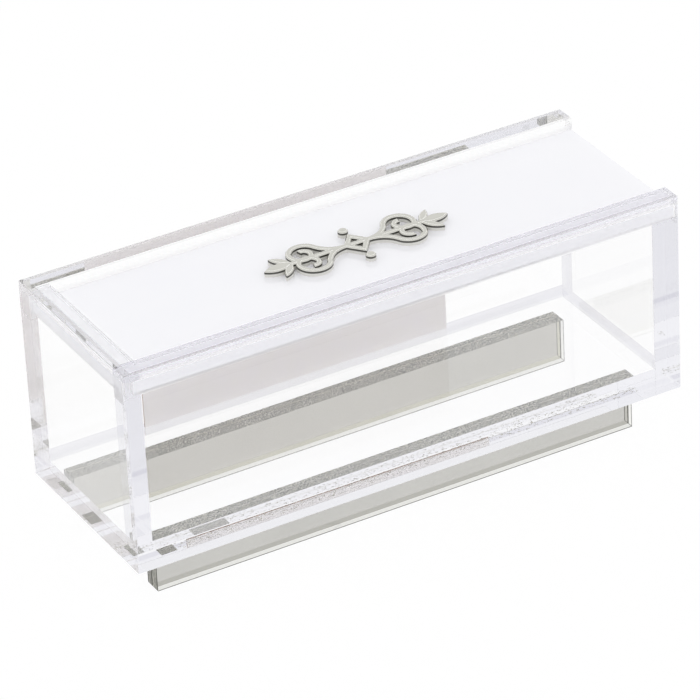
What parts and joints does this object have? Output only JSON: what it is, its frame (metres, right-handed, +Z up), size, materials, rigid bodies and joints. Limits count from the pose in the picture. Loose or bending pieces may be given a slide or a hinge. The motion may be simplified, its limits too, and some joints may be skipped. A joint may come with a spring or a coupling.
{
  "type": "matchbox holder",
  "caption": "Clear acrylic box for matches with a white sliding lid that carries silver scrollwork, a striking strip on its back and mirrored rails to stand on.",
  "frame": {"origin": "middle of the whole footprint, striking strip included, at the bottom of the rails", "axes": "+X along the box towards the end where the lid slides out, +Y to the back wall, +Z up"},
  "size_m": [0.14, 0.0506, 0.0612],
  "materials": {
    "clear_acrylic": "clear cast sheet with polished edges",
    "white_acrylic": "opaque white gloss",
    "silver_acrylic": "silver mirror",
    "glue_film": "thin pressed adhesive film",
    "striking_paper": "rough speckled striking coat on paper",
    "rail_clear": "clear gloss layer over a mirror",
    "rail_mirror": "mirror film",
    "rail_backing": "dark grey with pale flecks"
  },
  "bodies": {
    "box": {"floor_panel": "clear_acrylic", "front_wall": "clear_acrylic", "back_wall": "clear_acrylic", "left_end_wall": "clear_acrylic", "right_end_wall": "clear_acrylic", "striker_strip": "striking_paper", "striker_glue": "glue_film", "front_rail_face": "rail_clear", "front_rail_mirror": "rail_mirror", "front_rail_backing": "rail_backing", "back_rail_face": "rail_clear", "back_rail_mirror": "rail_mirror", "back_rail_backing": "rail_backing"},
    "lid": {"lid": "white_acrylic", "lid_ornament": "silver_acrylic", "ornament_glue": "glue_film"}
  },
  "joints": [
    {"name": "lid_slide", "type": "slide", "parent": "box", "child": "lid", "axis": [1, 0, 0], "range_m": [0, 0.14]}
  ]
}
